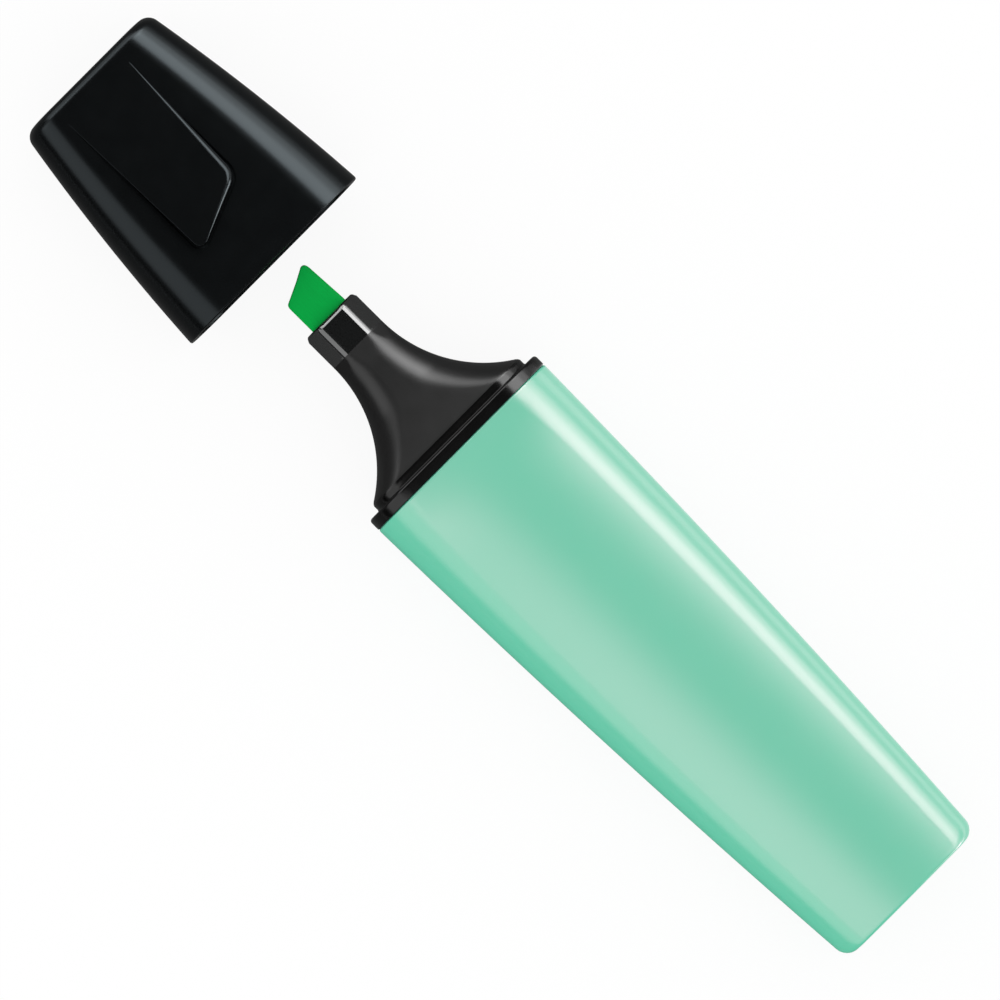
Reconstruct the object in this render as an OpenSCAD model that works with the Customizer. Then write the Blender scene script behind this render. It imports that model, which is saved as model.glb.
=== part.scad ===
// Flat highlighter with its cap pulled off: a wedge-shaped barrel, a flared nose with the nib holder,
// a chisel nib, a fibre reservoir in its film, and a cap with a clip and an inner sealing cup.
// Sizes are in millimetres. The pen lies on its broad side, nib towards +X, on the plane z = 0.

/* [Seam between cap and barrel] */
// Width of the pen where the cap meets the barrel
seam_w = 27; // [25:0.1:30]
// Thickness of the pen where the cap meets the barrel
seam_h = 15.6; // [14.8:0.1:18]
// Radius of the long edges at the seam
seam_r = 5.8; // [4.8:0.1:6.6]

/* [Barrel] */
// Length of the barrel behind the flange
barrel_len = 73.2; // [60:0.1:90]
// Width at the rear end
barrel_rear_w = 20.9; // [19:0.1:25]
// Thickness at the rear end
barrel_rear_h = 13.4; // [12.4:0.1:15.6]
// Radius of the long edges at the rear end
barrel_rear_r = 3.7; // [2.8:0.1:5]
// Outward bow of each side at half length
barrel_bow = 0.5; // [0:0.05:1]
// Lean of the swelled upper face where it meets the rounded edges
swell_lean = 10; // [0:0.5:12]
// Length behind the flange over which that swell grows
swell_run = 10; // [4:0.5:20]
// Wall of the shell
barrel_wall = 1.4; // [1:0.1:1.8]
// Thickness of the closed rear end
barrel_floor = 1.6; // [1.2:0.1:3]
// Rounding round the rear end
rear_edge_r = 1.6; // [0.6:0.1:2.4]
// Thickness of the ribs that hold the reservoir
rib_t = 1; // [0.6:0.1:1.6]
// Height of the ribs on the narrow sides, at the rear
rib_side = 1; // [0.6:0.1:2]
// Height of the ribs on the broad sides, at the rear
rib_face = 0.7; // [0.4:0.1:1.2]
// Distance of the broad ribs from the middle
rib_y = 4; // [2:0.1:6]

/* [Nose] */
// Thickness of the flange between cap and barrel
flange_t = 1.5; // [1:0.1:3]
// Length of the straight foot that the cap grips
foot_len = 1; // [0.6:0.1:3]
// Length of the concave flare
flare_len = 14.3; // [11:0.1:18]
// Share of the broad faces' rise that is straight, the rest is hollow
flare_lean = 0.5; // [0.2:0.05:0.9]
// Length of the straight nib holder
holder_len = 4.7; // [3:0.1:8]
// Radius of the nib holder's long edges
holder_r = 2.9; // [1.2:0.1:3]
// Rounding round the front of the nib holder
holder_edge_r = 0.7; // [0.3:0.05:1]
// Wall of the nib holder beside the nib
holder_side = 1.2; // [0.9:0.05:2]
// Wall of the nib holder over the nib
holder_face = 1.4; // [0.9:0.05:2]
// Wall of the hollow flare
nose_wall = 1.2; // [0.9:0.1:1.8]
// Length of the flare that is solid, behind the nib holder
nose_solid = 7; // [4:0.1:9]
// Wall of the tube that guides the nib inside the nose
guide_wall = 0.8; // [0.5:0.1:1.2]
// Length of the spigot that plugs into the barrel
spigot_len = 8; // [5:0.1:12]
// Wall of the spigot
spigot_wall = 1.2; // [0.8:0.1:1.6]
// Height of the snap bead round the spigot
bead_h = 0.3; // [0.15:0.05:0.5]
// Distance of the snap bead behind the flange
bead_d = 4; // [2.5:0.1:5]

/* [Nib] */
// Width of the nib
nib_w = 5.3; // [4:0.1:7]
// Thickness of the nib
nib_h = 3.2; // [2:0.1:4]
// Radius of the nib's long edges
nib_r = 0.5; // [0.2:0.05:0.9]
// Length of the nib that stands out of its holder, at the long corner
nib_out = 6.3; // [4:0.1:9]
// Slant of the chisel cut
nib_slant = 25; // [10:1:40]
// Rounding of the long corner of the chisel
nib_long_r = 0.6; // [0.4:0.05:1.3]
// Rounding of the short corner of the chisel
nib_short_r = 0.5; // [0.3:0.05:1]
// Depth of the nib's tail in the reservoir
nib_bite = 7; // [4:0.1:14]

/* [Reservoir] */
// Thickness of the film round the fibre core
film_t = 0.25; // [0.15:0.05:0.5]

/* [Cap] */
// Width at the top of the cap
cap_top_w = 19.9; // [18:0.1:25]
// Thickness at the top of the cap
cap_top_h = 13.6; // [13:0.1:15.6]
// Radius of the long edges at the top of the cap
cap_top_r = 4.1; // [3:0.1:5.4]
// Outward bow of each side at half length
cap_bow = 0.43; // [0:0.01:0.8]
// Wall of the cap
cap_wall = 1.35; // [1:0.05:1.8]
// Thickness of the closed top
cap_top_t = 1.7; // [1.2:0.1:3]
// Rounding round the top
cap_edge_r = 1.3; // [0.5:0.1:1.9]
// Room between the nib's tip and the bottom of the inner cup, with the cap on
tip_room = 1.5; // [0.5:0.1:4]
// How far the mouth of the pulled cap lies ahead of the nib
cap_pull = 2.7; // [1:0.1:20]
// Wall of the inner sealing cup
cup_wall = 0.9; // [0.6:0.1:1.4]
// Bottom of the inner sealing cup
cup_floor = 1; // [0.6:0.1:2]
// How far the cup's mouth stays ahead of the flare, with the cap on
cup_lead = 0.5; // [0.3:0.1:2]
// Depth of the collar in the cap that holds the cup
collar_len = 3; // [1.5:0.1:5]
// Wall of that collar
collar_wall = 0.8; // [0.5:0.1:1.4]

/* [Clip] */
// Distance from the cap's top to where the clip rises from the face
clip_start = 2.7; // [2:0.1:4]
// Distance from the cap's top to where the slit under the clip ends
clip_root = 9.5; // [7:0.1:13]
// Length of the clip's short side, from the cap's top
clip_short = 20.5; // [17:0.1:22]
// Length of the clip's long side, from the cap's top
clip_long = 24.1; // [20:0.1:27]
// Reach of the short side from the middle, at the free end
clip_short_y = 4; // [2:0.1:5]
// Reach of the long side from the middle, at the free end
clip_long_y = 5; // [3:0.1:6]
// How much further each side reaches at the cap's top
clip_spread = 0.6; // [0:0.1:1]
// Height of the free end over the cap's face
clip_rise = 1.7; // [1:0.1:2.5]
// Thickness of the clip
clip_t = 1.2; // [0.8:0.1:1.6]
// Height of the slit under the clip
slit_h = 0.7; // [0.4:0.1:1.2]
// Gap beside the clip
slit_side = 0.4; // [0.2:0.1:0.8]
// Wall left under the slit
slit_floor = 0.9; // [0.6:0.1:1.2]
// Rounding of the clip's corners, seen from above
clip_corner_r = 2.2; // [0.5:0.1:3]

/* [Fits] */
// Clearance of the spigot in the barrel
spigot_fit = 0.1; // [0.05:0.01:0.2]
// Clearance of the cap on the foot of the nose
cap_fit = 0.15; // [0.1:0.01:0.3]
// Clearance of the inner cup round the nib holder
seal_fit = 0.15; // [0.1:0.01:0.3]
// Clearance of the nib in its holder and in the reservoir
nib_fit = 0.05; // [0.02:0.01:0.15]
// Clearance of the reservoir between the ribs
rib_fit = 0.1; // [0.05:0.01:0.3]
// Clearance of the core in its film, and of the cup in its collar
press_fit = 0.05; // [0.02:0.01:0.1]
// End play of the reservoir at each end
end_play = 0.3; // [0.1:0.05:0.8]

/* [Hidden] */
$fn = 48;

// Facets of a rounded long edge, of a swelled face, of a rounded end, and along the curved lengths
corner_steps = 10;
face_steps = 4;
edge_steps = 5;
barrel_steps = 10;
cap_steps = 6;
flare_steps = 14;
// Smallest radius of an inner edge, and overshoot of a cut past the face that it opens
least_r = 0.2;
over = 1;

// Stations along the pen: x = 0 is the front of the flange, where the cap seats
axis_z = seam_h / 2;
flare_end = foot_len + flare_len;
holder_end = flare_end + holder_len;
nib_tip = holder_end + nib_out;
cap_x = nib_tip + cap_pull;
cap_len = nib_tip + tip_room + cup_floor + cap_top_t;
pen_rear = -flange_t - barrel_len;
// The frame's origin lies under the middle of the whole length
mid_x = (pen_rear + cap_x + cap_len) / 2;

// Sizes that follow from the fits
spigot_inset = barrel_wall + spigot_fit;
foot_inset = cap_wall + cap_fit;
foot_r = seam_r - foot_inset;
holder_w = nib_w + 2 * (nib_fit + holder_side);
holder_h = nib_h + 2 * (nib_fit + holder_face);
// The holder's long edges stay a little less than full rounds
holder_round = min(holder_r, 0.48 * holder_h);
guide_rear = -flange_t - spigot_len;
reservoir_w = barrel_rear_w - 2 * (barrel_wall + rib_side);
reservoir_h = barrel_rear_h - 2 * (barrel_wall + rib_face);
reservoir_z = barrel_rear_h / 2;
reservoir_front = guide_rear - end_play;
reservoir_rear = pen_rear + barrel_floor + end_play;
cup_mouth = flare_end + cup_lead;
cup_top = cap_len - cap_top_t;
cup_w = holder_w + 2 * (seal_fit + cup_wall);
cup_h = holder_h + 2 * (seal_fit + cup_wall);
cup_r = holder_round + seal_fit + cup_wall;

function lerp(a, b, t) = a + (b - a) * t;

// Arc across the pen at x, between two angles
function arc(x, y, z, r, a0, a1) = [
    for (k = [0:corner_steps])
        let (a = lerp(a0, a1, k / corner_steps))
        [x, y + r * cos(a), z + r * sin(a)]
];

// Outline of a rounded rectangle across the pen at x, between the heights z0 and z1.
// Its upper face swells if it leans where it meets the rounded edges.
function ring(x, w, z0, z1, r, lean = 0) =
    let (
        half = w / 2 - r,
        shoulder = z1 - half * tan(lean / 2) - r,
        face_y = half + r * sin(lean),
        face_z = shoulder + r * cos(lean)
    )
    concat(
        arc(x, half, shoulder, r, 0, 90 - lean),
        [
            for (k = [1:face_steps - 1])
                let (f = 1 - 2 * k / face_steps)
                [x, f * face_y, lerp(z1, face_z, f ^ 2)]
        ],
        arc(x, -half, shoulder, r, 90 + lean, 180),
        arc(x, -half, z0 + r, r, 180, 270),
        arc(x, half, z0 + r, r, 270, 360)
    );

// The barrel's outline at distance d behind the flange, drawn in by inset
function barrel_ring(d, inset) =
    let (
        t = d / barrel_len,
        w = lerp(seam_w, barrel_rear_w, t) + 8 * barrel_bow * t * (1 - t),
        h = lerp(seam_h, barrel_rear_h, t),
        r = lerp(seam_r, barrel_rear_r, t),
        flatness = 1 - min(max(d / swell_run, 0), 1)
    )
    ring(-flange_t - d, w - 2 * inset, inset, h - inset, max(r - inset, least_r),
        swell_lean * (1 - flatness ^ 2));

// Width and thickness of the cap at distance m from its mouth
function cap_w(m) =
    let (t = m / cap_len)
    lerp(seam_w, cap_top_w, t) + 8 * cap_bow * t * (1 - t);

function cap_h(m) = lerp(seam_h, cap_top_h, m / cap_len);

// The cap's outline at distance m from its mouth, drawn in by inset
function cap_ring(m, inset) =
    let (r = lerp(seam_r, cap_top_r, m / cap_len))
    ring(cap_x + m, cap_w(m) - 2 * inset, inset, cap_h(m) - inset, max(r - inset, least_r));

// The nose's outline at x, drawn in by inset: straight along the foot and the nib holder,
// and between them a flare whose sides are arcs tangent to the holder. Its long edges get rounder
// as it gets thicker, up to the radius of the foot.
function nose_ring(x, inset) =
    let (
        foot_w = cap_w(foot_len) - 2 * foot_inset,
        foot_h = cap_h(foot_len) - 2 * foot_inset,
        run = min(max(flare_end - x, 0), flare_len),
        rise = (foot_w - holder_w) / 2,
        arc_r = (flare_len ^ 2 + rise ^ 2) / (2 * rise),
        side = arc_r - sqrt(arc_r ^ 2 - run ^ 2),
        t = run / flare_len,
        face = (foot_h - holder_h) / 2 * (flare_lean * t + (1 - flare_lean) * t ^ 2),
        half_w = holder_w / 2 + side - inset,
        half_h = holder_h / 2 + face - inset,
        r = min(holder_round + face, foot_r) - inset
    )
    ring(x, 2 * half_w, axis_z - half_h, axis_z + half_h, max(r, least_r));

// Outlines of the snap bead on the spigot, or of its groove with some play
function snap_rings(inset, play) = [
    for (e = [1.5, 0.5, -0.5, -1.5])
        barrel_ring(bead_d + e * bead_h + sign(e) * play, inset - (abs(e) < 1 ? bead_h : 0))
];

// Height of the clip's outer face at distance e from the cap's top
function clip_z(e) =
    cap_h(cap_len - e) + clip_rise * (e - clip_start) / (clip_long - clip_start);

// Skin through a row of outlines, given in the order of rising x
module loft(rings) {
    n = len(rings[0]);
    last = len(rings) - 1;
    sides = [
        for (i = [0:last - 1], j = [0:n - 1])
            let (
                a = i * n + j,
                b = i * n + (j + 1) % n,
                c = b + n,
                d = a + n
            )
            each [[a, d, c], [a, c, b]]
    ];
    rear = [for (j = [0:n - 1]) j];
    front = [for (j = [0:n - 1]) last * n + n - 1 - j];
    polyhedron([for (r = rings) each r], concat([rear], sides, [front]), convexity = 8);
}

// Bar of rounded section along X, centred on y = 0 and the height z
module bar(x0, x1, w, h, r, z) {
    translate([x0, 0, z])
        rotate([90, 0, 90])
            linear_extrude(x1 - x0) {
                square([w - 2 * r, h], center = true);
                square([w, h - 2 * r], center = true);
                for (sy = [-1, 1], sz = [-1, 1])
                    translate([sy * (w / 2 - r), sz * (h / 2 - r)])
                        circle(r);
            }
}

// Length of the reservoir's section, grown by some amount all round
module reservoir_bar(x0, x1, grow) {
    h = reservoir_h + 2 * grow;
    translate([x0, 0, reservoir_z])
        rotate([90, 0, 90])
            linear_extrude(x1 - x0) {
                square([reservoir_w - reservoir_h, h], center = true);
                for (side = [-1, 1])
                    translate([side * (reservoir_w - reservoir_h) / 2, 0])
                        circle(d = h);
            }
}

// Length of the nib's section, grown by some amount all round
module nib_bar(x0, x1, grow)
    bar(x0, x1, nib_w + 2 * grow, nib_h + 2 * grow, nib_r + grow, axis_z);

// Ribs inside the barrel, cut to the reservoir
module ribs() {
    x0 = pen_rear + barrel_floor / 2;
    x1 = guide_rear - end_play;
    difference() {
        union() {
            for (side = [-1, 1])
                translate([x0, side * rib_y - rib_t / 2, 0])
                    cube([x1 - x0, rib_t, seam_h]);
            translate([x0, -seam_w / 2, reservoir_z - rib_t / 2])
                cube([x1 - x0, seam_w, rib_t]);
        }
        reservoir_bar(pen_rear, x1 + over, rib_fit);
    }
}

module barrel() {
    skin = concat(
        [
            for (k = [0:edge_steps])
                let (a = 90 * k / edge_steps)
                barrel_ring(barrel_len - rear_edge_r * (1 - cos(a)), rear_edge_r * (1 - sin(a)))
        ],
        [for (k = [1:barrel_steps]) barrel_ring(lerp(barrel_len - rear_edge_r, 0, k / barrel_steps), 0)]
    );
    hollow = concat(
        [
            for (k = [0:barrel_steps])
                barrel_ring(lerp(barrel_len - barrel_floor, spigot_len, k / barrel_steps), barrel_wall)
        ],
        snap_rings(barrel_wall, spigot_fit),
        [barrel_ring(-over, barrel_wall)]
    );
    color("#7ACDAC")
        difference() {
            loft(skin);
            difference() {
                loft(hollow);
                ribs();
            }
        }
}

module nose() {
    skin = concat(
        [barrel_ring(spigot_len, spigot_inset + bead_h)],
        [barrel_ring(spigot_len - 2 * bead_h, spigot_inset)],
        snap_rings(spigot_inset, 0),
        [barrel_ring(0, spigot_inset), barrel_ring(0, 0)],
        [ring(0, seam_w, 0, seam_h, seam_r), nose_ring(0, 0)],
        [for (k = [0:flare_steps]) nose_ring(lerp(foot_len, flare_end, k / flare_steps), 0)],
        [
            for (k = [0:edge_steps])
                let (a = 90 * k / edge_steps)
                nose_ring(holder_end - holder_edge_r * (1 - sin(a)), holder_edge_r * (1 - cos(a)))
        ]
    );
    hollow = concat(
        [barrel_ring(spigot_len + over, spigot_inset + spigot_wall)],
        [barrel_ring(0, spigot_inset + spigot_wall)],
        [
            for (k = [0:flare_steps])
                nose_ring(lerp(foot_len, flare_end - nose_solid, k / flare_steps), nose_wall)
        ]
    );
    color("#202222")
        difference() {
            loft(skin);
            difference() {
                loft(hollow);
                nib_bar(guide_rear, flare_end, nib_fit + guide_wall);
            }
            nib_bar(guide_rear - over, holder_end + over, nib_fit);
        }
}

// Chisel cut seen from above: two rounded corners on one slanted line, long corner at -Y
module nib_outline() {
    long = [nib_tip - nib_long_r, nib_long_r - nib_w / 2];
    short_y = nib_w / 2 - nib_short_r;
    short_x = long.x + ((long.y - short_y) * sin(nib_slant) + nib_long_r - nib_short_r) / cos(nib_slant);
    hull() {
        translate(long)
            circle(nib_long_r, $fn = 32);
        translate([short_x, short_y])
            circle(nib_short_r, $fn = 32);
        translate([reservoir_front - nib_bite, -nib_w / 2])
            square([over, nib_w]);
    }
}

module nib() {
    color("#009A44")
        intersection() {
            nib_bar(reservoir_front - nib_bite, nib_tip, 0);
            translate([0, 0, axis_z - nib_h])
                linear_extrude(2 * nib_h)
                    nib_outline();
        }
}

module ink_reservoir() {
    color("#4CC58E")
        difference() {
            reservoir_bar(reservoir_rear, reservoir_front, -film_t - press_fit);
            nib_bar(reservoir_front - nib_bite, reservoir_front + over, nib_fit);
        }
}

module reservoir_film() {
    color("#DCEBE5")
        difference() {
            reservoir_bar(reservoir_rear, reservoir_front, 0);
            reservoir_bar(reservoir_rear - over, reservoir_front + over, -film_t);
        }
}

// The clip's outline seen from above, grown by some amount
module clip_outline(grow) {
    top_x = cap_x + cap_len;
    offset(r = clip_corner_r + grow)
        offset(delta = -clip_corner_r)
            polygon([
                [top_x, -clip_short_y - clip_spread],
                [top_x, clip_long_y + clip_spread],
                [top_x - clip_long, clip_long_y],
                [top_x - clip_short, -clip_short_y]
            ]);
}

// Layer that follows the clip's outer face, from low to high over it, between two distances from the top
module clip_layer(e0, e1, low, high, grow) {
    top_x = cap_x + cap_len;
    intersection() {
        rotate([90, 0, 0])
            linear_extrude(seam_w, center = true)
                polygon([
                    [top_x - e1, clip_z(e1) + low],
                    [top_x - e0, clip_z(e0) + low],
                    [top_x - e0, clip_z(e0) + high],
                    [top_x - e1, clip_z(e1) + high]
                ]);
        linear_extrude(2 * seam_h)
            clip_outline(grow);
    }
}

module cap() {
    skin = concat(
        [for (k = [0:cap_steps]) cap_ring(lerp(0, cap_len - cap_edge_r, k / cap_steps), 0)],
        [
            for (k = [1:edge_steps])
                let (a = 90 * k / edge_steps)
                cap_ring(cap_len - cap_edge_r * (1 - sin(a)), cap_edge_r * (1 - cos(a)))
        ]
    );
    hollow = [for (k = [0:cap_steps]) cap_ring(lerp(-over, cup_top, k / cap_steps), cap_wall)];
    cup_x0 = cap_x + cup_mouth;
    cup_x1 = cap_x + cup_top;
    slit_low = -clip_t - slit_h;
    color("#151616")
        difference() {
            union() {
                difference() {
                    loft(skin);
                    clip_layer(clip_root, clip_long + over, slit_low, seam_h, slit_side);
                }
                clip_layer(clip_start, clip_long, -clip_t, 0, 0);
            }
            difference() {
                loft(hollow);
                clip_layer(clip_root - slit_floor, clip_long + over, slit_low - slit_floor,
                    seam_h, slit_side + slit_floor);
                cup_bar(cup_x1 - collar_len, cup_x1 + over, press_fit + collar_wall);
            }
            cup_bar(cup_x0 - over, cup_x1, press_fit);
        }
}

// Length of the inner cup's section, grown by some amount all round
module cup_bar(x0, x1, grow)
    bar(x0, x1, cup_w + 2 * grow, cup_h + 2 * grow, cup_r + grow, axis_z);

module inner_cap() {
    color("#E6E8E2")
        difference() {
            cup_bar(cap_x + cup_mouth, cap_x + cup_top, 0);
            cup_bar(cap_x + cup_mouth - over, cap_x + cup_top - cup_floor, -cup_wall);
        }
}

// Set a piece in the frame: the middle of the whole length over the origin
module placed()
    translate([-mid_x, 0, 0])
        children();

placed() barrel();
placed() nose();
placed() nib();
placed() ink_reservoir();
placed() reservoir_film();
placed() cap();
placed() inner_cap();
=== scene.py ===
import math

import bmesh
import bpy
from bpy.props import FloatProperty, FloatVectorProperty, PointerProperty
from bpy.types import Operator, Panel, PropertyGroup
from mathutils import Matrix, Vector


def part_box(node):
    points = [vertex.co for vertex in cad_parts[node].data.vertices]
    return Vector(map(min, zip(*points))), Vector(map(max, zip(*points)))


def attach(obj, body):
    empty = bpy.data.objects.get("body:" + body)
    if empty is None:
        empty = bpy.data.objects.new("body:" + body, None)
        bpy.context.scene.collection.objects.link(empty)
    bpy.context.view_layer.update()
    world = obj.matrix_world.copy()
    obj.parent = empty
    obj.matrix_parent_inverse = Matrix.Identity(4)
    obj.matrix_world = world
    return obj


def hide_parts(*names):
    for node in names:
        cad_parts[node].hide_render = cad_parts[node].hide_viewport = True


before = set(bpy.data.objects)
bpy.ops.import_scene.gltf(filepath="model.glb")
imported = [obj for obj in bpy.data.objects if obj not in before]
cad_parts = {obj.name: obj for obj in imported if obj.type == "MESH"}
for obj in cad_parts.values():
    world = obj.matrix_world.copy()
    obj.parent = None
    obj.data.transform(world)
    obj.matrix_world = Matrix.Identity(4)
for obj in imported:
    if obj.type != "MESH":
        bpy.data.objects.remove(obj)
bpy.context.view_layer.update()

bl_info = {
    "name": "Flat Highlighter",
    "version": (1, 0, 0),
    "blender": (4, 5, 0),
    "location": "View3D > Sidebar > Highlighter",
    "description": "Models a flat highlighter with its cap pulled off, piece by piece",
    "category": "Add Mesh",
}

MM = 0.001

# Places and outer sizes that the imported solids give
BARREL_LOW, BARREL_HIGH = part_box("barrel")
NOSE_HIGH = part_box("nose")[1]
NIB_LOW, NIB_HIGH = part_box("nib")
CAP_LOW, CAP_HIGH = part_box("cap")
CUP_LOW, CUP_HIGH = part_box("inner_cap")
AXIS_Z = (NIB_LOW.z + NIB_HIGH.z) / 2

# Steps of a rounded long edge, of a broad face, of a rounded rim and of a softened bend
CORNER_STEPS = 12
FACE_STEPS = 10
NIB_FACE_STEPS = 28
RIM_STEPS = 6
SOFT_STEPS = 3
# Steps along the barrel, the cap and the nib, along the flare and along short stretches
LONG_STEPS = 40
FLARE_STEPS = 36
SHORT_STEPS = 6
# Smallest radius of a long edge, and the angle from which an edge is shaded as sharp
LEAST_RADIUS = 0.2 * MM
SHARP_ANGLE = math.radians(32)
# Direction that the bevels of the nib holder face, between the side and straight up
BEVEL_ANGLE = math.radians(41)
# How fast the clip's outer edge gets rounder along and across it, and the least share of its rounding
CLIP_ALONG = 3
CLIP_ACROSS = 1.5
CLIP_LEAST = 0.06
# Share of the gap beside the clip that is left at the clip's root
POCKET_LEAST = 0.05

# Patterns of moulded plastic: clouds from the melt's flow along the mould, handled spots and grain.
# The real grain is about 0.05 mm and would not show, so it is drawn coarser.
FLOW_LENGTH = 27 * MM
FLOW_WIDTH = 9 * MM
SPOT_SIZE = 2.5 * MM
GRAIN_SIZE = 0.3 * MM
# Sockets of the Mix node when it mixes colours
MIX_FACTOR, MIX_FIRST, MIX_SECOND, MIX_RESULT = 0, 6, 7, 2

# Stage: reach of the floor and of the cards, the right card's gap from the pen, and the cards' height
FLOOR_REACH = 4
CARD_REACH = 0.4
CARD_GAP = 0.035
CARD_HEIGHT = 0.3 * MM
# Share of the paper that shows as plain white, while the rest takes the shadow
PAPER_GLOW = 0.9
# The camera sees from its distance divided by this to its distance times this
CLEAR_RANGE = 20
LAMP_DISTANCE = 0.6
# Softboxes: bearing, lean from overhead, sizes across and along, and the point ahead along X they aim at
SOFTBOXES = {
    "right_upper": (-90, 39.2, 0.361, 0.7, 0.14),
    "right_lower": (-90, 65, 0.19, 0.7, 0.14),
    "right_skirt": (-90, 81, 0.147, 0.7, 0.14),
    "front_right": (-38, 62, 0.3, 0.4, 0),
    "left_over": (90, 14, 0.169, 0.19, -0.105),
    "left_upper": (90, 28, 0.169, 0.9, 0.1),
    "left_lower": (90, 52, 0.344, 0.9, 0.1),
    "front_left": (38, 62, 0.3, 0.4, 0),
    "front": (0, 74, 0.3, 0.35, 0),
    "nose_strip": (0, 57, 0.1, 0.35, 0.02),
    # The kicker picks out the free edge of the clip
    "kicker": (210, 76, 0.3, 0.36, 0.05),
}


def length(name, description, metres):
    """A length property, given and kept in metres."""
    return FloatProperty(name=name, description=description, default=metres, unit="LENGTH", precision=5)


def size(name, description, millimetres):
    """A length property, given in millimetres."""
    return length(name, description, millimetres * MM)


def angle(name, description, degrees):
    """An angle property, given in degrees."""
    return FloatProperty(name=name, description=description, default=math.radians(degrees), subtype="ANGLE")


def number(name, description, default):
    """A property without a unit, such as a share or the brightness of a lamp."""
    return FloatProperty(name=name, description=description, default=default)


def linear(code):
    """Linear RGBA of an sRGB hex colour such as #79CDAC."""
    channels = [int(code[k:k + 2], 16) / 255 for k in (1, 3, 5)]
    return [c / 12.92 if c <= 0.04045 else ((c + 0.055) / 1.055) ** 2.4 for c in channels] + [1.0]


def colour(name, description, code):
    """A colour property, given as sRGB hex."""
    return FloatVectorProperty(
        name=name, description=description, default=linear(code), size=4, subtype="COLOR", min=0, max=1
    )


class ShellSizes(PropertyGroup):
    """Outlines that the barrel, the flange of the nose and the cap share"""

    seam_width: length("Seam width", "Width where the cap meets the barrel", BARREL_HIGH.y - BARREL_LOW.y)
    seam_height: length("Seam thickness", "Thickness where the cap meets the barrel", BARREL_HIGH.z)
    seam_radius: size("Seam edge radius", "Radius of the long edges at the seam", 5.8)
    barrel_length: length("Barrel length", "Length behind the flange", BARREL_HIGH.x - BARREL_LOW.x)
    rear_width: size("Rear width", "Width of the barrel at its rear end", 20.9)
    rear_height: size("Rear thickness", "Thickness of the barrel at its rear end", 13.4)
    rear_radius: size("Rear edge radius", "Radius of the long edges at the rear end", 3.7)
    barrel_bow: size("Barrel bow", "Outward bow of each side at half length", 0.5)
    swell_lean: angle("Swell lean", "Lean of the swelled upper face where it meets the rounded edges", 10)
    swell_run: size("Swell run", "Length behind the flange over which the swell grows", 10)
    barrel_wall: size("Barrel wall", "Wall of the barrel", 1.4)
    barrel_floor: size("Barrel floor", "Thickness of the closed rear end", 1.6)
    rear_round: size("Rear rounding", "Rounding of the rear corners, seen from above", 1.6)
    rear_edge: size("Rear edge", "Rounding of the broad faces' rear edges", 0.28)
    lip_round: size("Lip rounding", "Rounding of the barrel's front lip", 0.32)
    cap_length: length("Cap length", "Length of the cap", CAP_HIGH.x - CAP_LOW.x)
    cap_top_width: size("Cap top width", "Width at the top of the cap", 19.9)
    cap_top_height: size("Cap top thickness", "Thickness at the top of the cap", 13.6)
    cap_top_radius: size("Cap top edge radius", "Radius of the long edges at the cap's top", 4.1)
    cap_bow: size("Cap bow", "Outward bow of each side at half length", 0.43)
    cap_wall: size("Cap wall", "Wall of the cap", 1.35)
    cap_round: size("Cap rounding", "Rounding round the cap's top", 1.3)
    mouth_round: size("Mouth rounding", "Rounding of the cap's mouth, inside and outside", 0.2)
    collar_length: size("Collar depth", "Depth of the collar that holds the inner cup", 3)
    collar_wall: size("Collar wall", "Wall of the collar that holds the inner cup", 0.8)
    cup_fit: size("Cup fit", "Clearance of the inner cup in its collar", 0.05)
    cup_wall: size("Cup wall", "Wall of the inner cup", 0.9)
    cup_floor: size("Cup floor", "Bottom of the inner cup", 1)
    cup_radius: size("Cup edge radius", "Radius of the inner cup's long edges", 3.95)
    cup_round: size("Cup rounding", "Rounding of the inner cup's rim", 0.3)


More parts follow.
